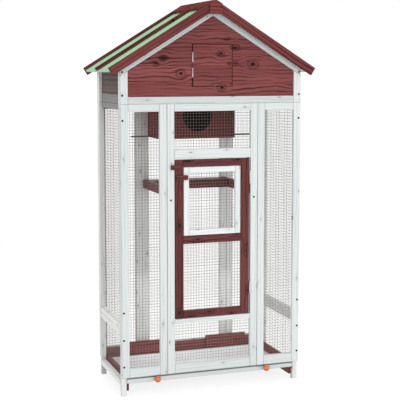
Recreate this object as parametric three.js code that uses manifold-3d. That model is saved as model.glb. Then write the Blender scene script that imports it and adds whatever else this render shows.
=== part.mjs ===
// Wooden bird cage: framed mesh walls on four legs, a pitched roof with an attic, a front door with a
// window in it, a nest box, a landing platform and a tray that slides out under the front.
// Millimetres, +Z up. The front looks along -Y and +X is to the right.
import * as THREE from 'three';
import { mergeVertices } from 'three/addons/utils/BufferGeometryUtils.js';
import Module from 'manifold-3d';

const wasm = await Module();
wasm.setup();

// Whole cage
const cage_width = 808;
const cage_depth = 396;
const panel_bottom = 82;
const roof_pitch_degrees = 31.7;
const roof_above_walls = 182.5;
const eave_overhang = 56;
const gable_overhang = 15;

// Clearances
const touch_gap = 0.3;
const seam_gap = 1;
const overrun = 2;

// Timber
const stock_width = 32;
const front_frame_thickness = 15;
const side_frame_thickness = 22;
const leg_depth = 20;
const side_rail_height = 25;
const side_top_rail_thickness = 10;
const bottom_rail_height = 40;

// Front and rear panels, and the heights stacked up in the front centre one
const centre_panel_width = 408;
const low_bay_height = 175;
const door_rail_height = 20;
const doorway_height = 683;
const middle_rail_height = 42;
const high_bay_height = 159;

// Side frames
const side_bottom_rail_underside = 43;
const side_middle_rail_centre = 287.5;

// Half-inch wire mesh, drawn as a coarse net: how many gaps each sheet has across and up
const mesh_thickness = 1.8;
const mesh_bar_width = 3;
const mesh_lap = 6;
const mesh_gaps = {
  outer_bay: [2, 14],
  centre_bay: [5, 14],
  low_bay: [5, 2],
  high_bay: [5, 2],
  side_wall: [4, 15],
  door: [4, 4],
  window: [3, 3],
};

// Door
const door_gap_latch_side = 3;
const door_gap_hinge_side = 6.5;
const door_gap_bottom = 2.5;
const door_gap_top = 2;
const door_stile_width = 36;
const door_top_rail_height = 31;
const door_bottom_rail_height = 32;
const door_middle_rail_height = 34;
const door_low_bay_height = 287.5;

// Window in the door
const window_gap = 1.5;
const window_gap_hinge_side = 4;
const window_member_width = 24;

// Butt hinges
const hinge_facets = 16;
const door_hinge_length = 57;
const upper_hinge_drop = 84;
const lower_hinge_rise = 113.5;
const door_knuckle_radius = 3;
const door_pin_radius = 1.3;
const door_leaf_thickness = 1.2;
const door_leaf_reach = 14;
const window_hinge_length = 180;
const small_knuckle_radius = 2.3;
const small_pin_radius = 0.9;
const small_leaf_thickness = 0.8;
const small_leaf_reach = 8;
const knuckle_gap = 0.4;
const even_knuckle_shares = [1 / 3, 2 / 3];

// Gable and attic
const gable_rail_height = 30;
const rafter_width = 34;
const plank_thickness = 9;
const gable_recess = 6;
const attic_recess = 13;
const attic_rail_height = 39;

// Hatch in the front gable
const hatch_width = 174.5;
const hatch_height = 173.5;
const hatch_rise = 73;
const hatch_gap = 2;
const hatch_gap_hinge_side = 4.5;
const hatch_hinge_length = 105;
const hatch_hinge_rise = 37;
const hatch_knuckle_shares = [0.37, 0.6];

// Turn buttons
const button_length = 50;
const button_height = 20;
const button_thickness = 8;
const button_pivot_inset = 9;
const button_corner_radius = 2.5;
const button_facets = 3;
const small_button_length = 44;
const small_button_height = 13;
const small_button_thickness = 6;
const small_button_pivot_inset = 5;
const screw_head_radius = 3;
const screw_head_height = 1.5;
const screw_head_facets = 12;
const door_button_drop = 31;
const window_button_drop = 42.5;
const hatch_button_rise = 95;
const door_button_lap = 30;
const window_button_lap = 18;
const hatch_button_lap = 18.5;

// Roof
const cover_thickness = 12;
const roof_panel_thickness = 9;
const bargeboard_width = 35;
const bargeboard_thickness = 15;
const batten_width = 30;
const ridge_cap_width = 58;
const eave_setback = 3;
const apex_plate_width = 56;
const apex_plate_height = 60;
const apex_plate_thickness = 10;

// Skirting and tray
const skirting_thickness = 11;
const skirting_underside = 20;
const skirting_side_top = 89;
const skirting_rear_top = 117;
const skirting_rebate = 104;
const skirting_mesh_gap = 0.2;
const rear_skirting_thickness = 12;
const cleat_length = 197;
const cleat_inner_end = 96;
const cleat_underside = 60;
const cleat_top = 136;
const cleat_thickness = 10;
const tray_front_height = 24;
const tray_front_thickness = 12;
const tray_drop = 4;
const tray_side_clearance = 1;
const pan_thickness = 2.8;
const pan_height = 50.4;
const groove_depth = 5;
const groove_headroom = 0.6;
const pan_edge_clearance = 0.6;
const tray_rear_clearance = 3;
const tray_rear_rail_thickness = 10;
const tray_rear_rail_top = 76;

// Tray knobs
const knob_spacing = 500;
const knob_radius = 14;
const knob_neck_radius = 6.5;
const knob_neck_length = 5;
const knob_facets = 16;
const knob_arc_steps = 8;

// Nest box
const nest_lap = 3;
const nest_wall = 10;
const nest_front_thickness = 9;
const nest_height = 197;
const nest_above_walls = 36;
const nest_floor_rise = 11;
const nest_hole_radius = 68;
const nest_hole_rise = 100;
const nest_hole_facets = 14;

// Perch
const perch_length = 570;
const perch_radius = 3.5;
const perch_rise = 10;
const perch_setback = 70;
const perch_hole_clearance = 0.4;
const perch_facets = 12;

// Landing platform
const platform_drop = 194;
const arm_height = 38;
const arm_thickness = 20;
const arm_centre = 189;
const shelf_depth = 85;
const shelf_thickness = 10;
const lip_thickness = 10;

// Worked out from the above
const pitch = THREE.MathUtils.degToRad(roof_pitch_degrees);
const half_width = cage_width / 2;
const half_depth = cage_depth / 2;
const front_inner = half_depth - front_frame_thickness;
const side_inner = half_width - side_frame_thickness;
const bay_half_depth = front_inner - leg_depth;
const post_inner = half_width - stock_width;
const centre_half = centre_panel_width / 2;
const centre_opening_half = centre_half - stock_width;
const side_panel_inner = centre_half + seam_gap;
const panel_opening_bottom = panel_bottom + bottom_rail_height;
const doorway_bottom = panel_opening_bottom + low_bay_height + door_rail_height;
const doorway_top = doorway_bottom + doorway_height;
const panel_opening_top = doorway_top + middle_rail_height + high_bay_height;
const panel_top = panel_opening_top + stock_width;
const gable_bottom = panel_top;
const gable_opening_bottom = gable_bottom + gable_rail_height;
const ridge_height = panel_top + roof_above_walls + half_width * Math.tan(pitch);
const eave_half_width = half_width + eave_overhang;
const slope_length = eave_half_width / Math.cos(pitch);
const panel_depth_top = cover_thickness + touch_gap;
const panel_depth_bottom = panel_depth_top + roof_panel_thickness;
const rafter_depth_top = panel_depth_bottom + touch_gap;
const rafter_depth_bottom = rafter_depth_top + rafter_width;
const roof_half_depth = half_depth + gable_overhang;
const net_face = front_inner - mesh_thickness;

const finish = {
  white_wood: { color: 0xe4eaea, roughness: 0.7, metalness: 0 },
  brown_wood: { color: 0x6c3432, roughness: 0.6, metalness: 0 },
  stained_board: { color: 0x8c484a, roughness: 0.6, metalness: 0 },
  roof_green: { color: 0xa5d4aa, roughness: 0.85, metalness: 0 },
  galvanised: { color: 0xa9adae, roughness: 0.4, metalness: 0.9 },
  hinge_steel: { color: 0xc9c9c6, roughness: 0.3, metalness: 1 },
  tray_sheet: { color: 0xe3e3df, roughness: 0.5, metalness: 0 },
  turned_beech: { color: 0xe8823a, roughness: 0.35, metalness: 0 },
  black_rod: { color: 0x1d1d1d, roughness: 0.4, metalness: 0.5 },
};

const cage = new THREE.Group();

// The bounding box reaches further forward by the apex plate, so the origin stands under its middle.
cage.position.y = apex_plate_thickness / 2;

function add(name, material, geometry) {
  const mesh = new THREE.Mesh(geometry, new THREE.MeshStandardMaterial(finish[material]));
  mesh.name = name;
  cage.add(mesh);
  return mesh;
}

// Corner points of a rectangle, counter-clockwise
function rectangle(u_low, u_high, v_low, v_high) {
  return [[u_low, v_low], [u_high, v_low], [u_high, v_high], [u_low, v_high]];
}

function path_of(points) {
  return points.map(([u, v]) => new THREE.Vector2(u, v));
}

// Axes of an outline drawn across x (in y, z) and across y (in x, z)
const x_axis = new THREE.Vector3(1, 0, 0);
const y_axis = new THREE.Vector3(0, 1, 0);
const z_axis = new THREE.Vector3(0, 0, 1);
const across = {
  x: new THREE.Matrix4().makeBasis(y_axis, z_axis, x_axis),
  y: new THREE.Matrix4().makeBasis(x_axis, z_axis, y_axis.clone().negate()),
};

// Stands a geometry drawn flat, and thick along its own z, across the axis from low to high
function stand_across(mesh, axis, low, high) {
  mesh.quaternion.setFromRotationMatrix(across[axis]);
  mesh.position[axis] = axis === 'y' ? high : low;
  return mesh;
}

// A flat plate with holes, drawn across the axis and filling it from low to high
function plate(name, material, axis, low, high, outline, holes = [], curve_steps = 1) {
  const shape = new THREE.Shape(path_of(outline));
  for (const hole of holes) {
    shape.holes.push(hole instanceof THREE.Path ? hole : new THREE.Path(path_of(hole)));
  }
  const depth = high - low;
  const geometry = new THREE.ExtrudeGeometry(shape, { depth, bevelEnabled: false, curveSegments: curve_steps });
  return stand_across(add(name, material, geometry), axis, low, high);
}

// A box from its six faces
function block([x_low, x_high], [y_low, y_high], [z_low, z_high]) {
  const geometry = new THREE.BoxGeometry(x_high - x_low, y_high - y_low, z_high - z_low);
  return geometry.translate((x_low + x_high) / 2, (y_low + y_high) / 2, (z_low + z_high) / 2);
}

function upright_cylinder(radius, x, y, z_low, z_high, facets) {
  const geometry = new THREE.CylinderGeometry(radius, radius, z_high - z_low, facets);
  return geometry.rotateX(Math.PI / 2).translate(x, y, (z_low + z_high) / 2);
}

function cross_cylinder(radius, x_low, x_high, y, z, facets) {
  const geometry = new THREE.CylinderGeometry(radius, radius, x_high - x_low, facets);
  return geometry.rotateZ(Math.PI / 2).translate((x_low + x_high) / 2, y, z);
}

function to_solid(geometry) {
  const plain = geometry.clone();
  plain.deleteAttribute('normal');
  plain.deleteAttribute('uv');
  const welded = mergeVertices(plain);
  const triVerts = new Uint32Array(welded.index.array);
  const vertProperties = new Float32Array(welded.attributes.position.array);
  return new wasm.Manifold(new wasm.Mesh({ numProp: 3, vertProperties, triVerts }));
}

function to_geometry(solid) {
  const { vertProperties, triVerts } = solid.getMesh();
  const geometry = new THREE.BufferGeometry();
  geometry.setAttribute('position', new THREE.BufferAttribute(vertProperties, 3));
  geometry.setIndex(new THREE.BufferAttribute(triVerts, 1));
  geometry.computeVertexNormals();
  return geometry;
}

// Joins the first list of shapes and cuts the second from them
function joined(shapes, cuts = []) {
  let solid = to_solid(shapes[0]);
  for (const shape of shapes.slice(1)) solid = solid.add(to_solid(shape));
  for (const cut of cuts) solid = solid.subtract(to_solid(cut));
  return to_geometry(solid);
}

// Where the edges of the bars lie between low and high: a bar, a gap, a bar, and so on
function bar_edges([low, high], gaps) {
  const step = (high - low - mesh_bar_width) / gaps;
  const edges = [];
  for (let bar = 0; bar <= gaps; bar += 1) {
    edges.push(low + bar * step, low + bar * step + mesh_bar_width);
  }
  return edges;
}

// Sheet of welded mesh as a grid of bars that laps the opening it covers on all sides
function net(name, axis, [low, high], opening, [gaps_across, gaps_up]) {
  const [u, v] = [[opening[0], gaps_across], [opening[1], gaps_up]].map(
    ([span, gaps]) => bar_edges([span[0] - mesh_lap, span[1] + mesh_lap], gaps));
  const depth = high - low;
  const is_inside = (column, row) => column >= 0 && row >= 0 && column < u.length - 1 && row < v.length - 1;
  const is_bar = (column, row) => is_inside(column, row) && (column % 2 === 0 || row % 2 === 0);
  const corners = [];
  const quad = (a, b, c, d) => corners.push(...a, ...b, ...c, ...a, ...c, ...d);
  for (let column = 0; column < u.length - 1; column += 1) {
    for (let row = 0; row < v.length - 1; row += 1) {
      if (!is_bar(column, row)) continue;
      const [u_0, u_1, v_0, v_1] = [u[column], u[column + 1], v[row], v[row + 1]];
      quad([u_0, v_0, depth], [u_1, v_0, depth], [u_1, v_1, depth], [u_0, v_1, depth]);
      quad([u_0, v_0, 0], [u_0, v_1, 0], [u_1, v_1, 0], [u_1, v_0, 0]);
      if (!is_bar(column - 1, row)) quad([u_0, v_0, 0], [u_0, v_0, depth], [u_0, v_1, depth], [u_0, v_1, 0]);
      if (!is_bar(column + 1, row)) quad([u_1, v_0, 0], [u_1, v_1, 0], [u_1, v_1, depth], [u_1, v_0, depth]);
      if (!is_bar(column, row - 1)) quad([u_0, v_0, 0], [u_1, v_0, 0], [u_1, v_0, depth], [u_0, v_0, depth]);
      if (!is_bar(column, row + 1)) quad([u_0, v_1, 0], [u_0, v_1, depth], [u_1, v_1, depth], [u_1, v_1, 0]);
    }
  }
  const geometry = new THREE.BufferGeometry();
  geometry.setAttribute('position', new THREE.Float32BufferAttribute(corners, 3));
  geometry.computeVertexNormals();
  return stand_across(add(name, 'galvanised', geometry), axis, low, high);
}

// Front and rear walls: three panel frames side by side, each with its mesh on the inside
const front_mesh_y = [-front_inner, -net_face];
const rear_mesh_y = [net_face, front_inner];
function wall_frames(end, y_low, y_high) {
  const outer_opening = [-post_inner, -(side_panel_inner + stock_width)];
  for (const [side, sign] of [['left', -1], ['right', 1]]) {
    const edges = [sign * half_width, sign * side_panel_inner].sort((a, b) => a - b);
    const opening = outer_opening.map((u) => -sign * u).sort((a, b) => a - b);
    const hole = rectangle(...opening, panel_opening_bottom, panel_opening_top);
    plate(`${end}_${side}_frame`, 'white_wood', 'y', y_low, y_high,
      rectangle(...edges, panel_bottom, panel_top), [hole]);
    net(`${end}_${side}_mesh`, 'y', end === 'front' ? front_mesh_y : rear_mesh_y,
      [opening, [panel_opening_bottom, panel_opening_top]], mesh_gaps.outer_bay);
  }
}

const centre_outline = rectangle(-centre_half, centre_half, panel_bottom, panel_top);
const opening_width = [-centre_opening_half, centre_opening_half];
const low_bay = [panel_opening_bottom, panel_opening_bottom + low_bay_height];
const high_bay = [doorway_top + middle_rail_height, panel_opening_top];

wall_frames('front', -half_depth, -front_inner);
plate('front_centre_frame', 'white_wood', 'y', -half_depth, -front_inner, centre_outline, [
  rectangle(...opening_width, ...low_bay),
  rectangle(...opening_width, doorway_bottom, doorway_top),
  rectangle(...opening_width, ...high_bay),
]);
net('front_bottom_mesh', 'y', front_mesh_y, [opening_width, low_bay], mesh_gaps.low_bay);
net('front_top_mesh', 'y', front_mesh_y, [opening_width, high_bay], mesh_gaps.high_bay);

wall_frames('rear', front_inner, half_depth);
plate('rear_centre_frame', 'white_wood', 'y', front_inner, half_depth, centre_outline,
  [rectangle(...opening_width, panel_opening_bottom, panel_opening_top)]);
net('rear_centre_mesh', 'y', rear_mesh_y, [opening_width, [panel_opening_bottom, panel_opening_top]],
  mesh_gaps.centre_bay);

// Side frames: their uprights are the legs, which the front and rear panels cover
const side_bay_bottom = side_bottom_rail_underside + side_rail_height;
const side_bay_top = panel_top - side_rail_height;
const side_bay = [-bay_half_depth, bay_half_depth];
const side_posts = [[-front_inner, -bay_half_depth], [bay_half_depth, front_inner]];
const top_rail_outer = side_inner + side_top_rail_thickness;
for (const [side, sign] of [['left', -1], ['right', 1]]) {
  const frame_x = [sign * half_width, sign * side_inner].sort((a, b) => a - b);
  const mesh_x = [sign * side_inner, sign * (side_inner - mesh_thickness)].sort((a, b) => a - b);
  const top_rail_x = [sign * top_rail_outer, sign * side_inner].sort((a, b) => a - b);
  add(`${side}_side_frame`, 'white_wood', joined([
    ...side_posts.map((post_y) => block(frame_x, post_y, [0, panel_top])),
    block(frame_x, side_bay, [side_bottom_rail_underside, side_bay_bottom]),
    block(frame_x, side_bay,
      [side_middle_rail_centre - side_rail_height, side_middle_rail_centre + side_rail_height]),
    block(top_rail_x, side_bay, [side_bay_top, panel_top]),
  ]));
  net(`${side}_side_mesh`, 'x', mesh_x, [[-bay_half_depth, bay_half_depth], [side_bay_bottom, side_bay_top]],
    mesh_gaps.side_wall);
}

// A butt hinge about an upright pin. The fixed leaf lies on the side that fixed_sign points to and holds
// the pin; the shares say where its two knuckles end and begin along the length.
function butt_hinge(names, x, y, z_low, size, fixed_sign, shares) {
  const { length, knuckle, pin, leaf, reach, half_gap } = size;
  const z_high = z_low + length;
  const [lower_end, upper_start] = shares.map((share) => z_low + length * share);
  const leaf_block = (sign) => {
    const outer = x + sign * (half_gap - touch_gap);
    const inner = outer - sign * leaf;
    return block([Math.min(inner, outer), Math.max(inner, outer)], [y, y + reach], [z_low, z_high]);
  };
  const barrel = (radius, low, high) => upright_cylinder(radius, x, y, low, high, hinge_facets);
  const fixed = joined(
    [
      leaf_block(fixed_sign),
      barrel(knuckle, z_low, lower_end),
      barrel(knuckle, upper_start, z_high),
    ],
    [barrel(knuckle + knuckle_gap, lower_end, upper_start)],
  );
  const pinned = joined([fixed, barrel(pin, z_low, z_high)]);
  const moving = joined(
    [leaf_block(-fixed_sign), barrel(knuckle, lower_end + knuckle_gap, upper_start - knuckle_gap)],
    [
      barrel(knuckle + knuckle_gap, z_low - overrun, lower_end + knuckle_gap),
      barrel(knuckle + knuckle_gap, upper_start - knuckle_gap, z_high + overrun),
      barrel(pin + knuckle_gap, z_low, z_high),
    ],
  );
  add(names[0], 'hinge_steel', pinned);
  add(names[1], 'hinge_steel', moving);
}

// Door, hung on its right edge in the doorway
const door_left = -centre_opening_half + door_gap_latch_side;
const door_right = centre_opening_half - door_gap_hinge_side;
const door_bottom = doorway_bottom + door_gap_bottom;
const door_top = doorway_top - door_gap_top;
const door_opening = [door_left + door_stile_width, door_right - door_stile_width];
const door_low_bay_bottom = door_bottom + door_bottom_rail_height;
const door_low_bay = [door_low_bay_bottom, door_low_bay_bottom + door_low_bay_height];
const window_space = [door_low_bay[1] + door_middle_rail_height, door_top - door_top_rail_height];
plate('door_frame', 'brown_wood', 'y', -half_depth, -front_inner,
  rectangle(door_left, door_right, door_bottom, door_top),
  [rectangle(...door_opening, ...door_low_bay), rectangle(...door_opening, ...window_space)]);
net('door_mesh', 'y', front_mesh_y, [door_opening, door_low_bay], mesh_gaps.door);
const door_hinge = {
  length: door_hinge_length,
  knuckle: door_knuckle_radius,
  pin: door_pin_radius,
  leaf: door_leaf_thickness,
  reach: door_leaf_reach,
  half_gap: door_gap_hinge_side / 2,
};
const door_pin_x = door_right + door_gap_hinge_side / 2;
const door_pin_y = -half_depth - door_knuckle_radius + touch_gap;
const hinge_centres = [['upper', door_top - upper_hinge_drop], ['lower', door_bottom + lower_hinge_rise]];
for (const [place, height] of hinge_centres) {
  butt_hinge([`door_hinge_${place}_fixed_leaf`, `door_hinge_${place}_moving_leaf`],
    door_pin_x, door_pin_y, height - door_hinge_length / 2, door_hinge, 1, even_knuckle_shares);
}

// Window frame, hung on its right edge in the door's upper half
const window_left = door_opening[0] + window_gap;
const window_right = door_opening[1] - window_gap_hinge_side;
const window_bottom = window_space[0] + window_gap;
const window_top = window_space[1] - window_gap;
const window_opening = [window_left + window_member_width, window_right - window_member_width];
const window_bay = [window_bottom + window_member_width, window_top - window_member_width];
plate('window_frame', 'white_wood', 'y', -half_depth, -front_inner,
  rectangle(window_left, window_right, window_bottom, window_top),
  [rectangle(...window_opening, ...window_bay)]);
net('window_mesh', 'y', front_mesh_y, [window_opening, window_bay], mesh_gaps.window);
const window_hinge = {
  length: window_hinge_length,
  knuckle: small_knuckle_radius,
  pin: small_pin_radius,
  leaf: small_leaf_thickness,
  reach: small_leaf_reach,
  half_gap: window_gap_hinge_side / 2,
};
const small_pin_y = -small_knuckle_radius + touch_gap;
butt_hinge(['window_hinge_fixed_leaf', 'window_hinge_moving_leaf'], window_right + window_gap_hinge_side / 2,
  -half_depth + small_pin_y, (window_bottom + window_top - window_hinge_length) / 2, window_hinge, 1,
  even_knuckle_shares);

// A height under the roof: how high a line that lies depth below the roof's top surface is at x
function roof_line(x, depth) {
  return ridge_height - depth / Math.cos(pitch) - Math.abs(x) * Math.tan(pitch);
}

// A five-cornered gable outline between two uprights, whose slopes lie depth below the roof's top
function gable_outline(reach, bottom, depth) {
  return [
    [-reach, bottom], [reach, bottom],
    [reach, roof_line(reach, depth)], [0, roof_line(0, depth)], [-reach, roof_line(reach, depth)],
  ];
}

// Gables: posts, rail and rafters in one frame, and a planked board set back in it
const board_outline = gable_outline(post_inner - touch_gap, gable_opening_bottom + touch_gap,
  rafter_depth_bottom + touch_gap);
const frame_outline = gable_outline(half_width, gable_bottom, rafter_depth_top);
const frame_hole = gable_outline(post_inner, gable_opening_bottom, rafter_depth_bottom);
const hatch_left = -hatch_width / 2;
const hatch_right = hatch_width / 2;
const hatch_bottom = gable_bottom + hatch_rise;
const hatch_top = hatch_bottom + hatch_height;
const hatch_hole = rectangle(hatch_left - hatch_gap_hinge_side, hatch_right + hatch_gap,
  hatch_bottom - hatch_gap, hatch_top + hatch_gap);
const board_front = -half_depth + gable_recess;
plate('front_gable_frame', 'white_wood', 'y', -half_depth, -front_inner, frame_outline, [frame_hole]);
plate('front_gable_board', 'stained_board', 'y', board_front, board_front + plank_thickness,
  board_outline, [hatch_hole]);
plate('rear_gable_frame', 'white_wood', 'y', front_inner, half_depth, frame_outline, [frame_hole]);
plate('rear_gable_board', 'stained_board', 'y', -board_front - plank_thickness, -board_front, board_outline);

// Hatch, hung on its left edge
plate('hatch', 'stained_board', 'y', board_front, board_front + plank_thickness,
  rectangle(hatch_left, hatch_right, hatch_bottom, hatch_top));
const hatch_hinge = {
  ...window_hinge,
  length: hatch_hinge_length,
  half_gap: hatch_gap_hinge_side / 2,
};
butt_hinge(['hatch_hinge_fixed_leaf', 'hatch_hinge_moving_leaf'], hatch_left - hatch_gap_hinge_side / 2,
  board_front + small_pin_y, hatch_bottom + hatch_hinge_rise, hatch_hinge, -1, hatch_knuckle_shares);

// Attic sides: a thin rail between two stubs, with planks above the rail, all set back to the inner face
const attic_top = roof_line(half_width, rafter_depth_top);
const attic_rail_top = gable_bottom + attic_rail_height;
for (const [side, sign] of [['left', -1], ['right', 1]]) {
  const frame_x = [sign * half_width, sign * side_inner].sort((a, b) => a - b);
  const outer_face = half_width - attic_recess;
  const board_x = [sign * outer_face, sign * (outer_face - plank_thickness)].sort((a, b) => a - b);
  const rail_x = [sign * top_rail_outer, sign * side_inner].sort((a, b) => a - b);
  add(`${side}_attic_frame`, 'white_wood', joined([
    ...side_posts.map((post_y) => block(frame_x, post_y, [gable_bottom, attic_top])),
    block(rail_x, side_bay, [gable_bottom, attic_rail_top]),
  ]));
  plate(`${side}_attic_board`, 'stained_board', 'x', ...board_x,
    rectangle(-bay_half_depth + touch_gap, bay_half_depth - touch_gap, attic_rail_top + touch_gap, attic_top));
}

// Turn buttons: a small block that turns about a screw near one end
function turn_button(name, material, size, pivot_x, pivot_z, face_y, tip_sign) {
  const { length, height, thickness, inset } = size;
  const tail = pivot_x - tip_sign * inset;
  const tip = tail + tip_sign * length;
  const [low, high] = [Math.min(tail, tip), Math.max(tail, tip)];
  const corner = Math.min(button_corner_radius, height / 2);
  const shape = new THREE.Shape();
  shape.moveTo(low + corner, pivot_z - height / 2);
  shape.lineTo(high - corner, pivot_z - height / 2);
  shape.absarc(high - corner, pivot_z - height / 2 + corner, corner, -Math.PI / 2, 0);
  shape.absarc(high - corner, pivot_z + height / 2 - corner, corner, 0, Math.PI / 2);
  shape.absarc(low + corner, pivot_z + height / 2 - corner, corner, Math.PI / 2, Math.PI);
  shape.absarc(low + corner, pivot_z - height / 2 + corner, corner, Math.PI, Math.PI * 1.5);
  const body = new THREE.ExtrudeGeometry(shape,
    { depth: thickness, bevelEnabled: false, curveSegments: button_facets });
  const back = face_y - touch_gap;
  body.rotateX(Math.PI / 2).translate(0, back, 0);
  const head = new THREE.CylinderGeometry(screw_head_radius, screw_head_radius,
    thickness / 2 + screw_head_height, screw_head_facets);
  head.translate(pivot_x, back - thickness + (thickness / 2 - screw_head_height) / 2, pivot_z);
  add(name, material, joined([body, head]));
}

const button = {
  length: button_length,
  height: button_height,
  thickness: button_thickness,
  inset: button_pivot_inset,
};
const small_button = {
  length: small_button_length,
  height: small_button_height,
  thickness: small_button_thickness,
  inset: small_button_pivot_inset,
};
const button_reach = button_length - button_pivot_inset;
const small_button_reach = small_button_length - small_button_pivot_inset;
turn_button('door_button', 'brown_wood', button, door_left + door_button_lap - button_reach,
  door_top - door_button_drop, -half_depth, 1);
turn_button('window_button', 'brown_wood', button, window_left + window_button_lap - button_reach,
  window_top - window_button_drop, -half_depth, 1);
turn_button('hatch_button', 'brown_wood', small_button, hatch_right - hatch_button_lap + small_button_reach,
  hatch_bottom + hatch_button_rise, board_front, -1);

// A point of a roof slope: run along the slope from the ridge, depth square to it, side -1 or 1
function slope_point(side, run, depth) {
  const x = run * Math.cos(pitch) - depth * Math.sin(pitch);
  return [side * x, ridge_height - run * Math.sin(pitch) - depth * Math.cos(pitch)];
}

// How far down the slope a plumb cut at x meets the given depth
function plumb_run(x, depth) {
  return (x + depth * Math.sin(pitch)) / Math.cos(pitch);
}

// A roof member along one slope. It starts at a plumb cut near the ridge, or square at the given run.
function roof_member(name, material, side, y_range, depth_range, end_run, start_run = null) {
  const [top, bottom] = depth_range;
  const start = (depth) => start_run ?? plumb_run(touch_gap, depth);
  const outline = [
    slope_point(side, start(top), top), slope_point(side, end_run, top),
    slope_point(side, end_run, bottom), slope_point(side, start(bottom), bottom),
  ];
  plate(name, material, 'y', ...y_range, outline);
}

const sheet_y = [-roof_half_depth + touch_gap, roof_half_depth - touch_gap];
for (const [side, sign] of [['left', -1], ['right', 1]]) {
  roof_member(`${side}_roof_panel`, 'roof_green', sign, sheet_y, [panel_depth_top, panel_depth_bottom],
    slope_length - eave_setback);
  roof_member(`${side}_roof_batten`, 'stained_board', sign, [-batten_width / 2, batten_width / 2],
    [0, cover_thickness], slope_length, ridge_cap_width + touch_gap);
  roof_member(`front_${side}_bargeboard`, 'stained_board', sign,
    [-roof_half_depth - bargeboard_thickness, -roof_half_depth], [0, bargeboard_width], slope_length);
  roof_member(`rear_${side}_bargeboard`, 'stained_board', sign,
    [roof_half_depth, roof_half_depth + bargeboard_thickness], [0, bargeboard_width], slope_length);
}
plate('ridge_cap', 'stained_board', 'y', ...sheet_y, [
  slope_point(1, 0, 0), slope_point(1, ridge_cap_width, 0), slope_point(1, ridge_cap_width, cover_thickness),
  slope_point(1, plumb_run(0, cover_thickness), cover_thickness),
  slope_point(-1, ridge_cap_width, cover_thickness), slope_point(-1, ridge_cap_width, 0),
]);
const plate_back = -roof_half_depth - bargeboard_thickness;
plate('apex_plate', 'stained_board', 'y', plate_back - apex_plate_thickness, plate_back - touch_gap,
  gable_outline(apex_plate_width / 2, ridge_height - apex_plate_height, 0));

// Base skirting: side boards with a groove for the pan, a rear board and its two cleats
const skirting_outer = side_inner - mesh_thickness - skirting_mesh_gap;
const skirting_inner = skirting_outer - skirting_thickness;
const skirting_front = -front_inner + tray_front_thickness + touch_gap;
const rear_board_front = front_inner - rear_skirting_thickness;
const cleat_front = rear_board_front - cleat_thickness;
const pan_rear = cleat_front - tray_rear_clearance;
const groove_z = [pan_height - touch_gap, pan_height + pan_thickness + groove_headroom];
const skirting_parts = [
  block([-skirting_outer, skirting_outer], [rear_board_front, front_inner], [skirting_underside, skirting_rebate]),
  block([-skirting_outer, skirting_outer], [rear_board_front, net_face - skirting_mesh_gap],
    [skirting_underside, skirting_rear_top]),
];
const groove_cuts = [];
for (const sign of [-1, 1]) {
  const board_x = [sign * skirting_outer, sign * skirting_inner].sort((a, b) => a - b);
  const groove_x = [sign * (skirting_inner - overrun), sign * (skirting_inner + groove_depth)];
  const cleat_x = [sign * cleat_inner_end, sign * (cleat_inner_end + cleat_length)].sort((a, b) => a - b);
  skirting_parts.push(block(board_x, [skirting_front, rear_board_front + overrun],
    [skirting_underside, skirting_side_top]));
  skirting_parts.push(block(cleat_x, [cleat_front, rear_board_front + overrun], [cleat_underside, cleat_top]));
  groove_cuts.push(block(groove_x.sort((a, b) => a - b), [skirting_front - overrun, pan_rear + touch_gap], groove_z));
}
add('base_skirting', 'brown_wood', joined(skirting_parts, groove_cuts));

// Tray: a front board flush with the legs, and a pan whose edges run in the skirting's grooves
const tray_front_top = panel_bottom - tray_drop;
const tray_half_width = side_inner - tray_side_clearance;
add('tray_front', 'white_wood', block([-tray_half_width, tray_half_width],
  [-front_inner, -front_inner + tray_front_thickness], [tray_front_top - tray_front_height, tray_front_top]));
const pan_half_width = skirting_inner + groove_depth - pan_edge_clearance;
const rear_rail_half_width = skirting_inner - tray_side_clearance;
add('tray_pan', 'tray_sheet', joined([
  block([-pan_half_width, pan_half_width], [skirting_front, pan_rear], [pan_height, pan_height + pan_thickness]),
  block([-rear_rail_half_width, rear_rail_half_width], [pan_rear - tray_rear_rail_thickness, pan_rear],
    [pan_height, tray_rear_rail_top]),
]));

// Turned knobs: a short neck that swells into a ball
const neck_angle = Math.asin(knob_neck_radius / knob_radius);
const ball_centre = knob_neck_length + knob_radius * Math.cos(neck_angle);
const knob_profile = [new THREE.Vector2(0, 0), new THREE.Vector2(knob_neck_radius, 0)];
for (let step = 0; step <= knob_arc_steps; step += 1) {
  const angle = neck_angle + (Math.PI - neck_angle) * (step / knob_arc_steps);
  const radius = step === knob_arc_steps ? 0 : knob_radius * Math.sin(angle);
  knob_profile.push(new THREE.Vector2(radius, ball_centre - knob_radius * Math.cos(angle)));
}
for (const [side, sign] of [['left', -1], ['right', 1]]) {
  const knob = add(`tray_knob_${side}`, 'turned_beech', new THREE.LatheGeometry(knob_profile, knob_facets));
  knob.rotation.z = Math.PI;
  knob.position.set(sign * knob_spacing / 2, -front_inner - touch_gap, tray_front_top - tray_front_height / 2);
}

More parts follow.
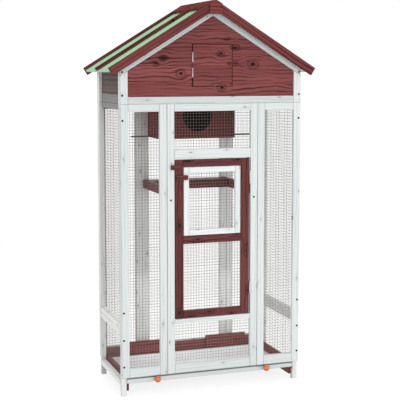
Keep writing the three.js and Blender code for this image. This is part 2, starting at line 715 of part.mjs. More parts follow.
// Nest box: it stands on the rear centre panel, open to the attic, with a round way in at the front
const nest_half = centre_opening_half + nest_lap;
const nest_back = net_face - skirting_mesh_gap;
const nest_top = panel_top + nest_above_walls;
const nest_bottom = nest_top - nest_height;
const nest_floor_bottom = nest_bottom + nest_floor_rise;
const perch_height = nest_bottom + perch_rise;
const nest_hole = new THREE.Path();
nest_hole.absarc(0, nest_bottom + nest_hole_rise, nest_hole_radius, 0, Math.PI * 2);
plate('nest_box_front', 'brown_wood', 'y', 0, nest_front_thickness,
  rectangle(-nest_half, nest_half, nest_bottom, nest_top), [nest_hole], nest_hole_facets);
const shell_front = nest_front_thickness + touch_gap;
const shell_parts = [
  block([-nest_half, nest_half], [nest_back - nest_wall, nest_back], [nest_bottom, nest_top]),
  block([-nest_half, nest_half], [shell_front, nest_back], [nest_floor_bottom, nest_floor_bottom + nest_wall]),
];
for (const sign of [-1, 1]) {
  const wall_x = [sign * nest_half, sign * (nest_half - nest_wall)].sort((a, b) => a - b);
  shell_parts.push(block(wall_x, [shell_front, nest_back], [nest_bottom, nest_top]));
}
add('nest_box_shell', 'brown_wood', joined(shell_parts, [
  cross_cylinder(perch_radius + perch_hole_clearance, -nest_half - overrun, nest_half + overrun, perch_setback,
    perch_height, perch_facets),
]));

// Perch: a rod through both sides of the nest box, close under its floor
add('perch', 'black_rod', cross_cylinder(perch_radius, -perch_length / 2, perch_length / 2, perch_setback,
  perch_height, perch_facets));

// Landing platform: two arms from wall to wall and a shelf with a lip between them at the rear
const platform_top = nest_bottom - platform_drop;
const shelf_x = [-arm_centre, arm_centre];
const shelf_front = nest_back - shelf_depth;
const platform_parts = [
  block(shelf_x, [shelf_front, nest_back], [platform_top - shelf_thickness, platform_top]),
  block(shelf_x, [shelf_front, shelf_front + lip_thickness], [platform_top - arm_height, platform_top]),
];
for (const sign of [-1, 1]) {
  const arm_x = [sign * arm_centre - arm_thickness / 2, sign * arm_centre + arm_thickness / 2];
  platform_parts.push(block(arm_x, [-front_inner, front_inner], [platform_top - arm_height, platform_top]));
}
add('landing_platform', 'brown_wood', joined(platform_parts));

export default cage;
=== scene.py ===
"""Looks of the wooden bird cage: timber, mesh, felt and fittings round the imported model.

Lengths are in millimetres and become metres where a mesh is made; only the floor, the lamps and the camera
are placed in metres. The front looks along -Y, +X is to the right and +Z is up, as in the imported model.
"""
from math import cos, pi, radians, sin, tan

import bpy
import numpy as np
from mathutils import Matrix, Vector


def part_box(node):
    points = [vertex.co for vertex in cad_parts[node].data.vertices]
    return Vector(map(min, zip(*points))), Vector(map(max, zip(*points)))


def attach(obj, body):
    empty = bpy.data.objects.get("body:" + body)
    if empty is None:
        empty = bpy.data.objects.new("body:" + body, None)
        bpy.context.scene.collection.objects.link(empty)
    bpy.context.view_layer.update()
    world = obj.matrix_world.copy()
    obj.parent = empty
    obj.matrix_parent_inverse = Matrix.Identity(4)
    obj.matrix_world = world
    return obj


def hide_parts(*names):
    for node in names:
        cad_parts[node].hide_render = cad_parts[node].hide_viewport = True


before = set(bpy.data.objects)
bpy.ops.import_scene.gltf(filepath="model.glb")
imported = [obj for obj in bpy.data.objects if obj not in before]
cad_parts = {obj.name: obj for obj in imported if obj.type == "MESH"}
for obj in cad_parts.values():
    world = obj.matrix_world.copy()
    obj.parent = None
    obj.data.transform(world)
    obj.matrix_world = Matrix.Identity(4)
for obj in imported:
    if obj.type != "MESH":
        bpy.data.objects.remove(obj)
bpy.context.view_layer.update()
mm = 0.001
rng = np.random.default_rng(31)
sides = (("left", -1), ("right", 1))
pure_white = (1, 1, 1, 1)


# Node trees

class Value:
    """A number that varies over a surface. Sums and products of values add Math nodes to their tree."""

    def __init__(self, nodes, socket):
        self.nodes, self.socket = nodes, socket

    def math(self, operation, *others, flip=False):
        values = [self, *others]
        if flip:
            values.reverse()
        return self.nodes.node("ShaderNodeMath", {"operation": operation}, dict(enumerate(values)))

    def __add__(self, other):
        return self.math("ADD", other)

    def __sub__(self, other):
        return self.math("SUBTRACT", other)

    def __mul__(self, other):
        return self.math("MULTIPLY", other)

    def __truediv__(self, other):
        return self.math("DIVIDE", other)

    def __radd__(self, other):
        return self.math("ADD", other, flip=True)

    def __rsub__(self, other):
        return self.math("SUBTRACT", other, flip=True)

    def __rmul__(self, other):
        return self.math("MULTIPLY", other, flip=True)


class Nodes:
    """The nodes of a material or of the world."""

    def __init__(self, tree):
        self.tree = tree

    def node(self, kind, settings=None, sockets=None, output=0):
        """Adds a node: its settings first, then the values or links of its sockets."""
        made = self.tree.nodes.new(kind)
        for name, value in (settings or {}).items():
            setattr(made, name, value)
        for name, value in (sockets or {}).items():
            if isinstance(value, Value):
                self.tree.links.new(value.socket, made.inputs[name])
            else:
                made.inputs[name].default_value = value
        return Value(self, made.outputs[output])

    def seen_directly(self):
        """1 for rays from the camera, from a reflection or through glass, and 0 for all others."""
        path = self.node("ShaderNodeLightPath").socket.node.outputs
        camera_ray, glossy_ray, clear_ray = [
            Value(self, path[f"Is {kind} Ray"]) for kind in ("Camera", "Glossy", "Transmission")]
        return (camera_ray + glossy_ray + clear_ray).math("MINIMUM", 1.0)


class Finish(Nodes):
    """One material. Constants go on the shader's own sockets, and what varies is linked into them."""

    def __init__(self, name, **constants):
        self.material = bpy.data.materials.new(name)
        self.material.use_nodes = True
        super().__init__(self.material.node_tree)
        self.shader = self.tree.nodes["Principled BSDF"]
        for socket, value in constants.items():
            self.shader.inputs[socket.replace("_", " ")].default_value = value

    def feed(self, socket, value):
        self.tree.links.new(value.socket, self.shader.inputs[socket])

    def place(self):
        return self.node("ShaderNodeTexCoord", output="Object")

    def attribute(self, name, output="Vector"):
        return self.node("ShaderNodeAttribute", {"attribute_name": name}, output=output)

    def vector_math(self, operation, *vectors, output="Vector"):
        return self.node("ShaderNodeVectorMath", {"operation": operation}, dict(enumerate(vectors)), output)

    def stretched(self, vector, x, y, z):
        return self.vector_math("MULTIPLY", vector, (x, y, z))

    def part(self, vector, axis):
        return self.node("ShaderNodeSeparateXYZ", None, {0: vector}, axis)

    def noise(self, vector, scale=1.0, detail=3.0, roughness=0.55):
        return self.node("ShaderNodeTexNoise", None, {
            "Vector": vector, "Scale": scale, "Detail": detail, "Roughness": roughness})

    def cells(self, vector, scale=1.0, output="Distance", flat=False):
        return self.node("ShaderNodeTexVoronoi", {"voronoi_dimensions": "2D" if flat else "3D"},
                         {"Vector": vector, "Scale": scale}, output)

    def between(self, value, low, high):
        """0 below low, 1 above high and a smooth step between them."""
        return self.node("ShaderNodeMapRange", {"interpolation_type": "SMOOTHSTEP"},
                         {"Value": value, "From Min": low, "From Max": high})

    def mix(self, factor, first, second, blend="MIX"):
        """Mixes two colours. The Mix node has the same names for numbers and colours, so its colour sockets
        are told by their places."""
        return self.node("ShaderNodeMix", {"data_type": "RGBA", "blend_type": blend},
                         {0: factor, 6: first, 7: second}, output=2)

    def bump(self, height, distance, strength=1.0):
        self.feed("Normal", self.node("ShaderNodeBump", None, {
            "Height": height, "Distance": distance, "Strength": strength}))


# Finishes

def paint(red, green, blue):
    """A screen colour as linear light: each share c is c/12.92 below 0.04045, else ((c+0.055)/1.055)^2.4."""
    share = np.array([red, green, blue]) / 255
    light = np.where(share <= 0.04045, share / 12.92, ((share + 0.055) / 1.055) ** 2.4)
    return (*light.tolist(), 1.0)


def timber(name, ground, pale, line, knot, lines, knots, rough, fleck=0.0, sway=0.055, rings=62,
           spread=(5.2, 10.5), places=(), upright=False, depth=0.0006, **constants):
    """Sawn pine under a stain or wash. Across the board the year rings are sin(2 pi rings (across + drift)),
    where drift is slow noise along the board. A knot is a point of a flat cell pattern, or lies at one of
    the given places on the front: its x, z and size, on boards that run along x, or along z where they are
    upright. Near it the rings are pushed apart by 0.85 of their own distance to it, fading out with near,
    and round its heart lie rings of its own, sin(70 near), which noise on near makes uneven. The spread is
    the number of cells to the metre along and across the board, and the shares lines and knots say how
    strong the lines are and how many cells have a knot."""
    wood = Finish(name, **constants)
    grain = wood.attribute("grain")
    tone = wood.attribute("tone", "Fac")
    across = wood.part(grain, "Y")

    def patches(along, over, detail, roughness=0.55):
        """Noise with that many patches to the metre along the grain and over it."""
        return wood.noise(wood.stretched(grain, along, over, over), detail=detail, roughness=roughness)

    def pull(reach):
        return 1 - wood.between(reach, 0.03, 0.36)

    cell_place = wood.stretched(grain, *spread, 0)
    near = wood.cells(cell_place, flat=True)
    lot = wood.part(wood.cells(cell_place, output="Color", flat=True), "X")
    has_knot = wood.between(lot, 1 - knots, 1 - knots + 0.02)
    cell_heart = wood.cells(cell_place, output="Position", flat=True)
    from_knot = wood.vector_math("SUBTRACT", cell_place, cell_heart)
    push = wood.part(from_knot, "Y") * (pull(near) * has_knot)
    if places:
        along_x, along_z = spread[::-1] if upright else spread
        flat = wood.stretched(wood.place(), along_x, 0, along_z)
        near = near + (1 - has_knot)
        has_knot = 1.0
        for x, z, size in places:
            offset = wood.vector_math("SUBTRACT", flat, (x * along_x * mm, 0, z * along_z * mm))
            reach = wood.vector_math("LENGTH", offset, output="Value") / size
            push = push + wood.part(offset, "X" if upright else "Z") * pull(reach)
            near = near.math("MINIMUM", reach)
    near = near + (patches(26, 60, 3.0) - 0.5) * 0.12
    drift = patches(1.6, 5, 2.0) * sway
    if places:
        drift = drift + patches(9, 16, 1.0) * (0.3 * sway)
    lie = across + drift - push * (0.85 / spread[1])
    year = wood.between((lie * (2 * pi * rings)).math("SINE"), 0.1, 0.98)
    streak = patches(3, 70, 4.0, 0.6)
    fibre = patches(14, 420, 2.0)
    broad = patches(1.1, 9, 1.0)
    heart = (1 - wood.between(near, 0.03, 0.06)) * has_knot
    halo = (1 - wood.between(near, 0.1, 0.2)) * has_knot
    eye = wood.between((near * 70).math("SINE"), -0.2, 0.9) * halo
    colour = wood.mix(wood.between(broad, 0.35, 0.68), ground, pale)
    colour = wood.mix(year * wood.between(streak, 0.3, 0.7) * lines, colour, line)
    colour = wood.mix(wood.between(fibre, 0.5, 0.8) * (0.35 * lines), colour, line)
    colour = wood.mix(halo * (0.1 * lines + 0.1) + eye * (0.42 * lines), colour, line)
    colour = wood.mix(heart * 0.9, colour, knot)
    if fleck:
        colour = wood.mix(wood.between(patches(30, 60, 3.0), 0.62, 0.74) * fleck, colour, line)
    # The board's tone multiplies the colour: a random tone per board, and painted shade and light given to
    # some faces and parts
    shade = wood.node("ShaderNodeCombineColor", None, {"Red": tone, "Green": tone, "Blue": tone})
    wood.feed("Base Color", wood.mix(1.0, colour, shade, "MULTIPLY"))
    wood.feed("Roughness", rough + 0.16 * streak)
    wood.bump(fibre * 0.35 + year * 0.3 + streak * 0.35 - heart * 0.4, depth)
    return wood.material


wash = dict(lines=0.5, knots=0.7, rough=0.55, fleck=0.3, spread=(7.5, 20), Specular_IOR_Level=0.3)
white_wood = timber("washed pine", paint(232, 236, 235), paint(223, 229, 229), paint(190, 197, 198),
                    paint(146, 154, 152), **wash)
# A lighter, warmer copy of the washed pine for the sides and the rear: painted light that lifts these shaded
# faces
inner_lit_wood = timber("washed pine, sides and rear", paint(238, 239, 237), paint(230, 231, 229),
                    paint(196, 196, 193), paint(151, 150, 145), **wash)

door_stain = dict(ground=paint(116, 61, 59), pale=paint(100, 49, 48), line=paint(46, 17, 19), lines=1.0,
                  rough=0.5, fleck=0.35, spread=(6.5, 15), Specular_IOR_Level=0.2)
door_wood = timber("dark brown stain", knot=paint(30, 11, 12), knots=0.75, **door_stain)
rail_knots = [(-68.7, 655.6, 1.2), (-17, 338.7, 1.2), (85.6, 324, 1.3), (-99.6, 324, 1.5), (-107, 994, 1.2),
              (111.5, 993, 1.3)]
rail_wood = timber("dark brown stain on the door's rails", knot=paint(26, 9, 10), knots=0.1,
                   places=rail_knots, **door_stain)
stile_knots = [(-151, 718, 1.5), (152.6, 597.5, 1.6), (-153.6, 340, 1.4), (-140, 880, 0.8), (158, 420, 1.1)]
stile_wood = timber("dark brown stain on the door's stiles", knot=paint(26, 9, 10), knots=0.1,
                    places=stile_knots, upright=True, **door_stain)

stained_wood = timber("red brown stain", paint(131, 72, 70), paint(116, 61, 60), paint(73, 34, 35),
                      paint(34, 15, 16), lines=1.0, knots=0.5, rough=0.66, fleck=0.2, spread=(5.2, 9),
                      depth=0.0001, Specular_IOR_Level=0.0)
# A greyed copy of the red brown stain: painted reflection, the grey sheen that the shaded boards under the
# eaves show at a grazing view
attic_greyed_wood = timber("brown stain under the eaves", paint(136, 110, 105), paint(120, 96, 92),
                    paint(80, 58, 55), paint(44, 26, 25), lines=0.9, knots=0.5, rough=0.6, fleck=0.2,
                    spread=(6, 12), Specular_IOR_Level=0.3)
gable_knots = [(-218.9, 1421.5, 1.2), (-249.2, 1400.9, 0.9), (-140.6, 1357.5, 1.6), (183.1, 1397.3, 1.9),
               (100.5, 1466.7, 1.5), (40.2, 1300.3, 1.5), (37.3, 1443.2, 1.3)]
gable_wood = timber("red brown stain on planks", paint(148, 84, 83), paint(130, 69, 69), paint(66, 28, 30),
                    paint(34, 12, 14), lines=1.0, knots=0.02, rough=0.6, fleck=0.2, sway=0.07, rings=66,
                    spread=(9, 12), places=gable_knots, Specular_IOR_Level=0.1)
# A lighter copy of the brown stain for the skirting: painted light that lifts these shaded boards inside the
# base
skirting_lit_wood = timber("brown stain low down", paint(140, 78, 74), paint(124, 66, 63), paint(76, 34, 35),
                       paint(40, 18, 18), lines=0.8, knots=0.5, rough=0.5, fleck=0.3, spread=(6.5, 15),
                       Specular_IOR_Level=0.2)
nest_wood = timber("brown stain inside", paint(122, 60, 58), paint(106, 51, 50), paint(66, 28, 29),
                   paint(44, 20, 20), lines=0.8, knots=0.4, rough=0.6, Specular_IOR_Level=0.1)


def roofing_felt():
    """Mineral granules pressed in bitumen: fine cell grains over slow wear, pale green."""
    felt = Finish("green roofing felt", Roughness=0.9)
    place = felt.place()
    grains_per_metre = 700
    grit = felt.cells(place, grains_per_metre)
    speck = felt.part(felt.cells(place, grains_per_metre, "Color"), "X")
    worn = felt.noise(place, 5, detail=4.0)
    colour = felt.mix(felt.between(speck, 0.15, 0.9), paint(150, 202, 157), paint(180, 224, 184))
    colour = felt.mix(felt.between(worn, 0.45, 0.75) * 0.35, colour, paint(158, 204, 164))
    felt.feed("Base Color", colour)
    felt.bump(grit * 0.8 + worn * 0.4, 0.0009, 0.7)
    return felt.material


def metal(name, dark, light, rough, metallic, spots=90):
    """Metal in two tones that change in soft patches, a little rougher where it is lighter."""
    plate = Finish(name, Metallic=metallic)
    place = plate.place()
    patch = plate.noise(place, spots, detail=3.0)
    fine = plate.noise(place, spots * 9, detail=2.0)
    plate.feed("Base Color", plate.mix(plate.between(patch, 0.35, 0.65), dark, light))
    plate.feed("Roughness", rough + 0.12 * fine + 0.08 * patch)
    plate.bump(fine, 0.00015, 0.4)
    return plate.material


wire_metal = metal("galvanised wire", paint(118, 111, 106), paint(142, 136, 131), rough=0.5, metallic=0.15)
hinge_metal = metal("zinc plated hinge", paint(196, 186, 182), paint(226, 220, 215), rough=0.25,
                    metallic=0.85, spots=60)
stained_metal = metal("hinge leaf under stain", paint(96, 46, 46), paint(120, 60, 59), rough=0.55,
                      metallic=0.1, spots=120)
screw_metal = metal("dark screw steel", paint(20, 20, 22), paint(34, 34, 36), rough=0.55, metallic=0.3,
                    spots=300)
perch_metal = metal("black rod", paint(24, 24, 24), paint(36, 35, 34), rough=0.4, metallic=0.3, spots=40)


def tray_plastic():
    """Off-white moulded sheet with a fine leathery skin and faint scuffs along the sliding direction."""
    sheet = Finish("off white tray sheet", Coat_Weight=0.1)
    place = sheet.place()
    skin = sheet.cells(place, 900)
    scuff = sheet.noise(sheet.stretched(place, 160, 6, 20), detail=3.0)
    sheet.feed("Base Color", sheet.mix(sheet.between(scuff, 0.55, 0.8) * 0.5,
                                       paint(249, 249, 251), paint(240, 240, 243)))
    sheet.feed("Roughness", 0.42 + scuff * 0.2)
    sheet.bump(skin * 0.6 + scuff * 0.4, 0.0002, 0.5)
    return sheet.material


def lacquered_knob():
    """Orange lacquer over turned beech: fine dark flecks along Y, painted shade that darkens the underside
    below 68 mm above the ground, and a clear coat."""
    knob = Finish("orange lacquered beech", Roughness=0.28, Coat_Weight=0.6, Coat_Roughness=0.12)
    place = knob.place()
    fleck = knob.noise(knob.stretched(place, 900, 110, 900), detail=2.0)
    broad = knob.noise(knob.stretched(place, 90, 30, 90), detail=2.0)
    # Painted shade: the knob darkens towards its underside
    underside_shade = 1 - knob.between(knob.part(place, "Z"), 54 * mm, 68 * mm)
    colour = knob.mix(knob.between(broad, 0.35, 0.65), paint(216, 114, 42), paint(232, 136, 62))
    colour = knob.mix(underside_shade * 0.75, colour, paint(120, 62, 28))
    knob.feed("Base Color", knob.mix(knob.between(fleck, 0.58, 0.72) * 0.6, colour, paint(160, 74, 30)))
    knob.bump(fleck, 0.0001, 0.3)
    return knob.material


felt_green, pan_plastic, knob_orange = roofing_felt(), tray_plastic(), lacquered_knob()


# Shapes. Each returns its points, its faces, the points' places in the grain, in metres, and their tones.

def put(plane, first, second, height):
    """Points from plane coordinates: the first two lie in the plane across an axis, in the order of x, y
    and z, and the height runs along that axis."""
    order = {"x": (height, first, second), "y": (first, height, second), "z": (first, second, height)}[plane]
    return np.stack(np.broadcast_arrays(*order), -1)


def bands(rings, count, closed=False):
    """Faces between neighbouring rings of count points: each has two neighbours of one ring and the same two
    of the next. Closed rings run on from the last one to the first."""
    ring, step = np.meshgrid(np.arange(rings if closed else rings - 1), np.arange(count), indexing="ij")
    here, there = ring * count, (ring + 1) % rings * count
    turn = (step + 1) % count
    return np.stack([here + step, here + turn, there + turn, there + step], -1).reshape(-1, 4).tolist()


def tube(rings, count):
    """Faces of a closed tube: its bands, the first ring backwards and the last one forwards."""
    last = (rings - 1) * count
    return bands(rings, count) + [list(range(count))[::-1], list(range(last, last + count))]


def flipped(faces):
    return [face[::-1] for face in faces]


def even(points, faces):
    """A part of one tone whose grain lies in its own place."""
    return points, faces, points * mm, np.ones(len(points))


def log_place():
    """A random place in the log, in metres, where a part's grain starts."""
    return rng.uniform(0, 40, 3)


def board(outline, plane, low, high, arris=1.2, along=None, tone=None, dust=0.4):
    """A sawn board: a flat outline, drawn anticlockwise in the plane, is carried from low to high. At both
    faces each edge line moves in by the arris and neighbouring lines are crossed again, which chamfers the
    rims. The rims' outer lines are darker, dirt gathered in the joints together with painted shade in the
    seams, and a pair of tones, often painted shade or light, shades the low and the high face. The grain
    runs along the longest edge, or the given direction, from a random place in the log."""
    outline = np.asarray(outline, float)
    edge = np.roll(outline, -1, 0) - outline
    length = np.linalg.norm(edge, axis=1, keepdims=True)
    edge = edge / length
    inward = np.stack([-edge[:, 1], edge[:, 0]], 1)
    before = np.roll(inward, 1, 0)
    inset = outline + arris * (inward + before) / (1 + (inward * before).sum(1, keepdims=True))
    fade = min(2.2 * arris, 0.45 * (high - low))
    rings = np.stack([inset] + [outline] * 4 + [inset])
    heights = np.array([low, low + arris, low + fade, high - fade, high - arris, high], float)
    heights = heights[:, None] * np.ones(len(outline))
    points = put(plane, rings[..., 0], rings[..., 1], heights).reshape(-1, 3)
    faces = tube(len(rings), len(outline))
    if plane == "y":
        faces = flipped(faces)
    run = edge[int(length.argmax())] if along is None else np.array(along, float)
    flat = rings @ np.array([[run[0], -run[1]], [run[1], run[0]]])
    grain = np.stack([flat[..., 0], flat[..., 1], heights], -1).reshape(-1, 3) * mm + log_place()
    low_tone, high_tone = (rng.uniform(0.955, 1.02),) * 2 if tone is None else np.broadcast_to(tone, 2)
    shade = np.array([1, dust, 1, 1, dust, 1]) * np.repeat([low_tone, high_tone], 3)
    return points, faces, grain, np.repeat(shade, len(outline))


def rectangle(first, second):
    return [(first[0], second[0]), (first[1], second[0]), (first[1], second[1]), (first[0], second[1])]


def box(x, y, z, arris=1.2, **more):
    """A straight board from its three spans; it is drawn across its thinnest side."""
    axes = {"x": x, "y": y, "z": z}
    plane = min(axes, key=lambda axis: axes[axis][1] - axes[axis][0])
    first, second = [axes[axis] for axis in "xyz" if axis != plane]
    return board(rectangle(first, second), plane, *axes[plane], arris, **more)


def mirrored(outline):
    """The outline on the other side of the middle plane, still anticlockwise."""
    return [(-across, up) for across, up in outline][::-1]


def framed(x, y, z, stile, rails, tones=(None, None, None)):
    """Two upright stiles of the given width and the level rails between them, each from its span of z. The
    tones are of the left stile, the right one and the rails."""
    inner = (x[0] + stile, x[1] - stile)
    return ([box((x[0], inner[0]), y, z, tone=tones[0]), box((inner[1], x[1]), y, z, tone=tones[1])]
            + [box(inner, y, rail, tone=tones[2]) for rail in rails])


def holed(x, y, z, centre, radius, arris=1.0, steps=72):
    """A board with a round hole: at each angle a ring runs from the hole's edge out to the rectangle's rim,
    whose distance is the smaller of half width / |cos| and half height / |sin| from the hole's centre."""
    corners = [np.arctan2(up - centre[1], across - centre[0]) for across in x for up in z]
    angle = np.unique(np.concatenate([np.linspace(-pi, pi, steps, endpoint=False), corners]))
    cosine, sine = np.cos(angle), np.sin(angle)
    with np.errstate(divide="ignore"):
        to_side = np.where(cosine > 0, x[1] - centre[0], centre[0] - x[0]) / np.abs(cosine)
        to_top = np.where(sine > 0, z[1] - centre[1], centre[1] - z[0]) / np.abs(sine)
    rim = np.minimum(to_side, to_top)
    hole = np.full_like(rim, radius)
    reach = np.stack([hole + arris, rim - arris, rim, rim, rim - arris, hole + arris, hole, hole])
    depth = np.array([y[0], y[0], y[0] + arris, y[1] - arris, y[1], y[1], y[1] - arris, y[0] + arris])
    points = put("y", centre[0] + reach * cosine, centre[1] + reach * sine, depth[:, None])
    grain = points[..., [0, 2, 1]].reshape(-1, 3) * mm + log_place()
    return points.reshape(-1, 3), flipped(bands(*reach.shape, closed=True)), grain, np.ones(reach.size)


def round_way(direction, seed, count):
    """Count directions square to the given ones, evenly round each: cos t * one + sin t * other."""
    one = np.cross(direction, seed)
    one /= np.linalg.norm(one, axis=-1, keepdims=True)
    other = np.cross(direction, one)
    turn = np.linspace(0, 2 * pi, count, endpoint=False)[:, None]
    return np.cos(turn) * one[..., None, :] + np.sin(turn) * other[..., None, :]


def turned(profile, base, axis, count=32):
    """A turned piece: the profile's (radius, height) points are carried round the axis from its base, each
    point being base + height * axis + radius * the way round, and flat ends close it."""
    profile, axis = np.asarray(profile, float), np.asarray(axis, float)
    ring = round_way(axis, [0.31, 0.17, 0.94], count)
    points = np.asarray(base, float) + profile[:, None, 1:] * axis + profile[:, None, :1] * ring
    return even(points.reshape(-1, 3), tube(len(profile), count))


def wires(starts, ends, radius, count=6):
    """Straight round wires: a ring of count points is carried from every start to its end."""
    starts, ends = np.asarray(starts, float), np.asarray(ends, float)
    run = ends - starts
    run /= np.linalg.norm(run, axis=1, keepdims=True)
    ring = radius * round_way(run, [0.57, 0.61, 0.55], count)
    points = np.stack([starts[:, None] + ring, ends[:, None] + ring], 1).reshape(-1, 3)
    start = (np.arange(len(starts)) * 2 * count)[:, None]
    first, turn = start + np.arange(count), start + (np.arange(count) + 1) % count
    faces = np.stack([first, turn, turn + count, first + count], -1).reshape(-1, 4).tolist()
    return even(points, faces + first[:, ::-1].tolist() + (first + count).tolist())


def piece(name, body, finish, slot, parts, *nodes, smooth=False, soft=None):
    """Joins the parts into one mesh piece that rides on the body and stands for the named nodes."""
    starts = np.cumsum([0] + [len(part[0]) for part in parts])
    faces = [[start + corner for corner in face] for start, part in zip(starts, parts) for face in part[1]]
    mesh = bpy.data.meshes.new(name)
    mesh.from_pydata((np.concatenate([part[0] for part in parts]) * mm).tolist(), [], faces)
    for label, kind, field, index in (("grain", "FLOAT_VECTOR", "vector", 2), ("tone", "FLOAT", "value", 3)):
        data = np.concatenate([part[index] for part in parts]).astype(np.float32).ravel()
        mesh.attributes.new(label, kind, "POINT").data.foreach_set(field, data)
    mesh.polygons.foreach_set("use_smooth", [smooth] * len(mesh.polygons))
    mesh.update()
    made = bpy.data.objects.new(name, mesh)
    bpy.context.collection.objects.link(made)
    mesh.materials.append(finish)
    if soft:
        mesh.set_sharp_from_angle(angle=radians(soft))
    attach(made, body)
    if nodes:
        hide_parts(*nodes)


def spans(node):
    """A node's low and high corners in millimetres, as three (low, high) spans."""
    low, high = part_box(node)
    return [(low[axis] / mm, high[axis] / mm) for axis in range(3)]


def spread_out(sign, low, high):
    """A span of x given by its distances from the middle plane, on the side that the sign tells."""
    return sorted((sign * low, sign * high))


# Walls

stock, panel_top = 32, 1233
opening_low, opening_top = 122, panel_top - stock
door_rail, middle_rail = (297, 317), (1000, 1042)
for end, washed in (("front", white_wood), ("rear", inner_lit_wood)):
    for bay in ("left", "right", "centre"):
        x, y, z = spans(f"{end}_{bay}_frame")
        rails = [(z[0], opening_low), (opening_top, z[1])]
        if (end, bay) == ("front", "centre"):
            rails += [door_rail, middle_rail]
        piece(f"{end}_{bay}_panel", "cage", washed, "white_wood", framed(x, y, z, stock, rails),
              f"{end}_{bay}_frame")

# The side walls' uprights are the legs. Their tones are painted shade and light on the front and the rear
# face, first for the front leg
leg = 20
leg_tones = {"left": ((1.04, 0.74), (0.94, 1.04)), "right": ((1.02, 0.94), (0.98, 0.96))}
side_rails, side_top_rail = ((43, 68), (262.5, 287.5), (287.5, 312.5)), (1208, panel_top)
# The side rails' inner faces are lightened as painted light, and their outer faces darkened a little as
# painted shade
rail_tones = {"left": (0.98, 1.06), "right": (1.06, 0.98)}

# Under the eaves the top rails and the attic's are set back to the same planes, and their tones are painted
# shade, deeper on the left
set_back = (382, 392)
eaves_tone = {"left": 0.25, "right": 0.65}
for side, sign in sides:
    x, y, z = spans(f"{side}_side_frame")
    legs = [(y[0], y[0] + leg), (y[1] - leg, y[1])]
    between = (legs[0][1], legs[1][0])
    piece(f"{side}_side_timber", "cage", inner_lit_wood, "white_wood",
          [box(x, upright, z, tone=tones) for upright, tones in zip(legs, leg_tones[side])]
          + [box(x, between, rail, tone=rail_tones[side]) for rail in side_rails]
          + [box(spread_out(sign, *set_back), between, side_top_rail, tone=eaves_tone[side] + 0.05)],
          f"{side}_side_frame")

# Half-inch welded mesh: upright wires lie outside and level wires inside, sunk a little into each other
wire_pitch, wire_radius, layer_step = 12.7, 0.47, 1.9


def mesh_sheet(node, body):
    """Wires over a sheet's node: as many as fit at the pitch, centred in both directions."""
    x, y, z = spans(node)
    faces_side = x[1] - x[0] < y[1] - y[0]
    level_span, plane, thickness = (y, "x", x) if faces_side else (x, "y", y)
    outward = -1 if sum(thickness) < 0 else 1
    places = []
    for span in (level_span, z):
        count = int((span[1] - span[0] - 2 * wire_radius) // wire_pitch)
        edge = (span[1] - span[0] - count * wire_pitch) / 2
        places.append(span[0] + edge + wire_pitch * np.arange(count + 1))
    upright = thickness[outward > 0] - outward * wire_radius
    level = upright - outward * wire_radius * layer_step
    ends = [put(plane, places[0], height, upright) for height in z]
    bars = [put(plane, reach, places[1], level) for reach in level_span]
    piece(f"{node}_wire", body, wire_metal, "galvanised",
          [wires(*ends, wire_radius), wires(*bars, wire_radius)], node, smooth=True, soft=60)


for node in ("front_left_mesh", "front_right_mesh", "front_bottom_mesh", "front_top_mesh", "rear_left_mesh",
             "rear_centre_mesh", "rear_right_mesh", "left_side_mesh", "right_side_mesh"):
    mesh_sheet(node, "cage")
mesh_sheet("door_mesh", "door")
mesh_sheet("window_mesh", "window")

# The roof's slopes. A depth is measured square to the roof's top surface, and a run down it from the ridge.
pitch = radians(31.7)
half_width, roof_above_walls, eave_overhang = 404, 182.5, 56
ridge = panel_top + roof_above_walls + half_width * tan(pitch)
eave_run = (half_width + eave_overhang) / cos(pitch)
gap = 0.3
rafter_top, rafter_low = 21.6, 55.6


def slope_height(x, depth):
    """Height of the line that lies `depth` below the roof's top surface, at x."""
    return ridge - depth / cos(pitch) - abs(x) * tan(pitch)


def slope_point(run, depth):
    """The point `run` down the right slope from the ridge and `depth` square below its top."""
    return (run * cos(pitch) - depth * sin(pitch), ridge - run * sin(pitch) - depth * cos(pitch))


def plumb_run(depth):
    """How far down the slope a plumb cut beside the middle plane meets the depth."""
    return (gap + depth * sin(pitch)) / cos(pitch)


def sloping(start, end, top, bottom):
    """Outline of a member of the right slope between two runs. A start of None is a plumb cut by
    the ridge."""
    first, last = (plumb_run(top), plumb_run(bottom)) if start is None else (start, start)
    corners = ((last, bottom), (end, bottom), (end, top), (first, top))
    return [slope_point(run, depth) for run, depth in corners]


def plank(low, high, hole=None):
    """Outlines of one gable plank between two heights: its ends follow the posts and slopes, and at the
    hatch's hole it is notched from above or from below, or parted in two."""
    seam, depth, half_board = 0.03, rafter_low + gap, half_width - stock - gap
    low, high = low + seam, high - seam
    apex, knee = slope_height(0, depth), slope_height(half_board, depth)
    reach_low, reach_high = [min(half_board, max((apex - z) / tan(pitch), 0.0)) for z in (low, high)]
    pointed = reach_high < 1
    right = [(reach_low, low)] + ([(half_board, knee)] if low < knee < high else [])
    right += [(0.0, apex) if pointed else (reach_high, high)]
    left = [(-across, up) for across, up in right[::-1]][pointed:]
    if not hole or hole[1][1] <= low or hole[1][0] >= high:
        return [right + left]
    (west, east), (bottom, top) = hole
    if bottom > low:
        return [left[-1:] + right + [(east, high), (east, bottom), (west, bottom), (west, high)] + left[:-1]]
    if top < high:
        return [[(east, low)] + right + left + [(west, low), (west, top), (east, top)]]
    return [[(east, low)] + right + [(east, high)], [(west, high)] + left + [(west, low)]]


# Gables

